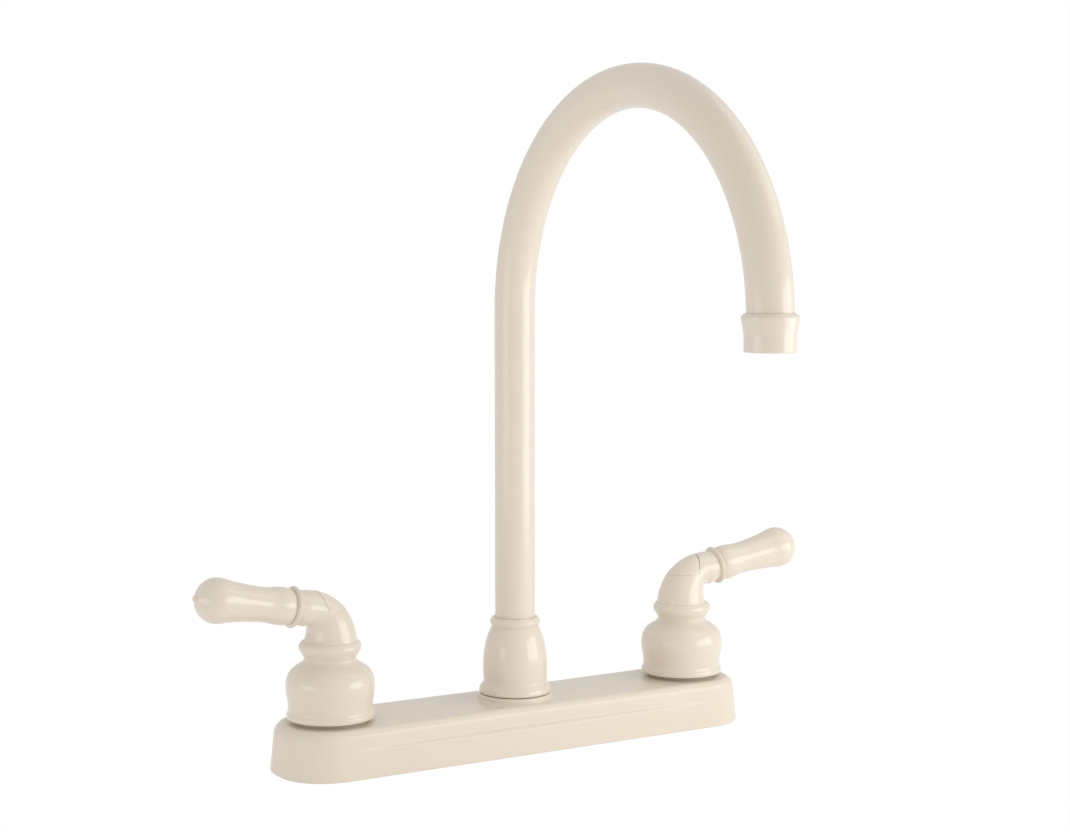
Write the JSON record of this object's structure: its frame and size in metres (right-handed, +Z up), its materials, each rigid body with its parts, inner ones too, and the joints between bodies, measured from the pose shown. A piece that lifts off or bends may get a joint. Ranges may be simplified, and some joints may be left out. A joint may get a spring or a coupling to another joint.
{
  "type": "kitchen faucet",
  "caption": "High-arc kitchen faucet: long deck plate, swivelling gooseneck spout with aerator, teapot-style lever handles at the ends, threaded inlet shanks with wing nuts below.",
  "frame": {"origin": "on the deck plane under the deck plate, below the spout's swivel axis", "axes": "+X along the deck plate to the right, -Y to the front, the way the spout reaches, +Z up the riser"},
  "size_m": [0.344, 0.2422, 0.3878],
  "materials": {
    "bisque_cover": "glossy bisque moulding",
    "bisque_bell": "glossy bisque moulding",
    "bisque_handle": "glossy bisque moulding",
    "bisque_tube": "glossy bisque coating on metal tube",
    "bisque_aerator": "glossy bisque moulding",
    "foam": "closed-cell foam",
    "rubber": "black rubber",
    "waterway": "off-white moulding",
    "waterway_tube": "off-white tube",
    "white_plastic": "white moulding",
    "brass": "turned brass",
    "disc_ceramic": "polished ceramic",
    "screw_steel": "stainless steel",
    "screen_steel": "perforated stainless sheet"
  },
  "bodies": {
    "base": {"deck_plate": "bisque_cover", "deck_gasket": "foam", "spout_hub": "waterway", "spout_bell": "bisque_bell", "glide_ring": "white_plastic", "left_valve_body": "waterway", "left_mounting_nut": "white_plastic", "left_seat_seal": "rubber", "left_fixed_disc": "disc_ceramic", "left_cartridge_shell": "white_plastic", "left_bonnet_nut": "white_plastic", "left_cross_tube": "waterway_tube", "right_valve_body": "waterway", "right_mounting_nut": "white_plastic", "right_seat_seal": "rubber", "right_fixed_disc": "disc_ceramic", "right_cartridge_shell": "white_plastic", "right_bonnet_nut": "white_plastic", "right_cross_tube": "waterway_tube"},
    "left_handle": {"left_stem": "brass", "left_moving_disc": "disc_ceramic", "left_stem_ring": "rubber", "left_handle_hub": "bisque_handle", "left_index_cap": "bisque_handle", "left_handle_screw": "screw_steel", "left_lever_stud": "screw_steel", "left_lever_ring": "bisque_handle", "left_lever_grip": "bisque_handle"},
    "right_handle": {"right_stem": "brass", "right_moving_disc": "disc_ceramic", "right_stem_ring": "rubber", "right_handle_hub": "bisque_handle", "right_index_cap": "bisque_handle", "right_handle_screw": "screw_steel", "right_lever_stud": "screw_steel", "right_lever_ring": "bisque_handle", "right_lever_grip": "bisque_handle"},
    "spout": {"spout_tube": "bisque_tube", "spout_ferrule": "brass", "spout_rings": "rubber", "aerator_housing": "bisque_aerator", "aerator_washer": "rubber", "flow_restrictor": "white_plastic", "aerator_insert": "white_plastic", "aerator_screen": "screen_steel"}
  },
  "joints": [
    {"name": "spout_swivel", "type": "hinge", "parent": "base", "child": "spout", "pos_m": [0, 0, 0.03], "axis": [0, 0, 1], "continuous": true},
    {"name": "left_handle_turn", "type": "hinge", "parent": "base", "child": "left_handle", "pos_m": [-0.1016, 0, 0.03], "axis": [0, 0, 1], "range_deg": [0, 90]},
    {"name": "right_handle_turn", "type": "hinge", "parent": "base", "child": "right_handle", "pos_m": [0.1016, 0, 0.03], "axis": [0, 0, 1], "range_deg": [-90, 0]}
  ]
}
